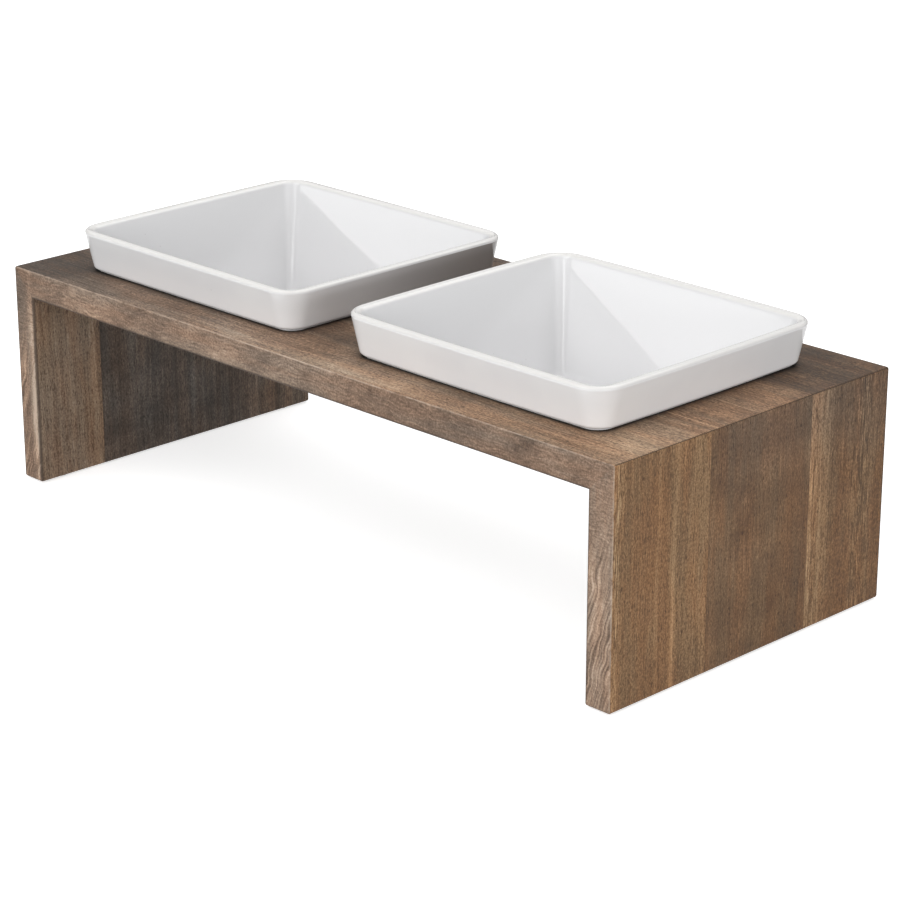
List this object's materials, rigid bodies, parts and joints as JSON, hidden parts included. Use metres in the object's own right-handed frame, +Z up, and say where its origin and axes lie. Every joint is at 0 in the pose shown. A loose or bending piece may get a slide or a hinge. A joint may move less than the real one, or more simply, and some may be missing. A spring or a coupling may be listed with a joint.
{
  "type": "raised pet feeder",
  "caption": "Low waterfall bench of mitred stained-wood boards with deep square porcelain bowls that drop through openings in its top and lift out for washing.",
  "frame": {"origin": "on the floor under the middle of the bench, at the underside of the foot pads", "axes": "+X along the bench towards its right panel, -Y out of its front, +Z up"},
  "size_m": [0.508, 0.229, 0.1672],
  "materials": {
    "top_wood": "matte grey-brown stain",
    "right_panel_wood": "matte brown stain",
    "left_panel_wood": "matte brown stain",
    "biscuit_wood": "pressed beech, bare",
    "pad_rubber": "matte black",
    "glazed_porcelain": "white gloss glaze"
  },
  "bodies": {
    "bench": {"top_stave_front": "top_wood", "top_stave_middle_left": "top_wood", "top_stave_middle_centre": "top_wood", "top_stave_middle_right": "top_wood", "top_stave_back": "top_wood", "right_panel_stave_front": "right_panel_wood", "right_panel_stave_middle": "right_panel_wood", "right_panel_stave_back": "right_panel_wood", "left_panel_stave_front": "left_panel_wood", "left_panel_stave_middle": "left_panel_wood", "left_panel_stave_back": "left_panel_wood", "mitre_biscuit_left_front": "biscuit_wood", "mitre_biscuit_left_middle": "biscuit_wood", "mitre_biscuit_left_back": "biscuit_wood", "mitre_biscuit_right_front": "biscuit_wood", "mitre_biscuit_right_middle": "biscuit_wood", "mitre_biscuit_right_back": "biscuit_wood", "foot_pad_front_left": "pad_rubber", "foot_pad_back_left": "pad_rubber", "foot_pad_front_right": "pad_rubber", "foot_pad_back_right": "pad_rubber"},
    "left_bowl": {"bowl_left": "glazed_porcelain"},
    "right_bowl": {"bowl_right": "glazed_porcelain"}
  },
  "joints": [
    {"name": "left_bowl_lift", "type": "slide", "parent": "bench", "child": "left_bowl", "axis": [0, 0, 1], "range_m": [0, 0.09]},
    {"name": "right_bowl_lift", "type": "slide", "parent": "bench", "child": "right_bowl", "axis": [0, 0, 1], "range_m": [0, 0.09]}
  ]
}
